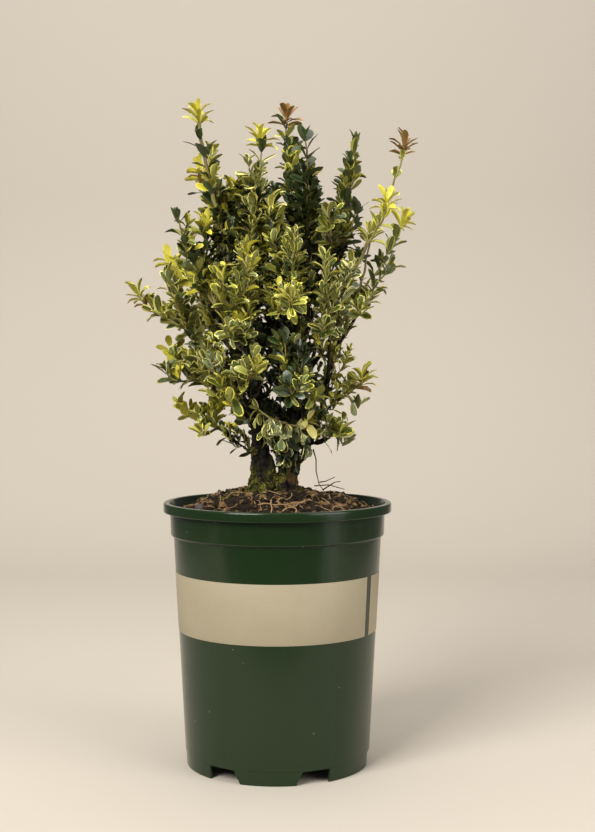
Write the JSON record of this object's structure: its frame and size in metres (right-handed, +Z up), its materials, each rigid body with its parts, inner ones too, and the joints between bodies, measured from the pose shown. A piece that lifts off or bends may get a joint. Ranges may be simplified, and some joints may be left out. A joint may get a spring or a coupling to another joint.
{
  "type": "potted variegated boxwood shrub",
  "caption": "Young variegated boxwood shrub, open and upright, with leafy shoots on thick forked stems, in a round dark green nursery pot with a blank label band.",
  "frame": {"origin": "centre of the flat pad under the pot's floor, level with the pot's feet", "axes": "+Z up along the pot's axis, -Y towards the front, +X to the right seen from the front"},
  "size_m": [0.2082, 0.1744, 0.4836],
  "materials": {
    "pot_green": "dark green moulded plastic, satin",
    "soil_bark": "moist bark compost",
    "old_bark": "rough bark with moss",
    "variegated_leaves": "glossy green leaves with cream and yellow margins"
  },
  "bodies": {
    "root": {"pot": "pot_green", "soil": "soil_bark", "trunk": "old_bark", "stem_left": "old_bark", "stem_right": "old_bark", "stem_slim": "old_bark", "bough_back_centre": "old_bark", "bough_back_left": "old_bark", "bough_back_low": "old_bark", "bough_back_low_left": "old_bark", "bough_back_right": "old_bark", "bough_far_left": "old_bark", "bough_foot_back": "old_bark", "bough_foot_rosette": "old_bark", "bough_front_centre": "old_bark", "bough_front_left": "old_bark", "bough_front_low_left": "old_bark", "bough_front_low_right": "old_bark", "bough_front_right": "old_bark", "bough_left": "old_bark", "bough_low_left": "old_bark", "bough_low_right": "old_bark", "bough_lowest_right": "old_bark", "bough_red_right": "old_bark", "bough_right": "old_bark", "bough_right_reach": "old_bark", "bough_right_top": "old_bark", "bough_tall_left": "old_bark", "bough_upper_left": "old_bark", "foliage_left_leader": "variegated_leaves", "foliage_tall_left": "variegated_leaves", "foliage_upper_left": "variegated_leaves", "foliage_far_left": "variegated_leaves", "foliage_left": "variegated_leaves", "foliage_low_left": "variegated_leaves", "foliage_front_left": "variegated_leaves", "foliage_front_low_left": "variegated_leaves", "foliage_back_left": "variegated_leaves", "foliage_back_low_left": "variegated_leaves", "foliage_foot_back": "variegated_leaves", "foliage_right_leader": "variegated_leaves", "foliage_right_top": "variegated_leaves", "foliage_red_right": "variegated_leaves", "foliage_right_reach": "variegated_leaves", "foliage_back_right": "variegated_leaves", "foliage_back_centre": "variegated_leaves", "foliage_front_centre": "variegated_leaves", "foliage_front_low_right": "variegated_leaves", "foliage_back_low": "variegated_leaves", "foliage_foot_rosette": "variegated_leaves", "foliage_slim_leader": "variegated_leaves", "foliage_right": "variegated_leaves", "foliage_front_right": "variegated_leaves", "foliage_low_right": "variegated_leaves", "foliage_lowest_right": "variegated_leaves"}
  },
  "joints": []
}
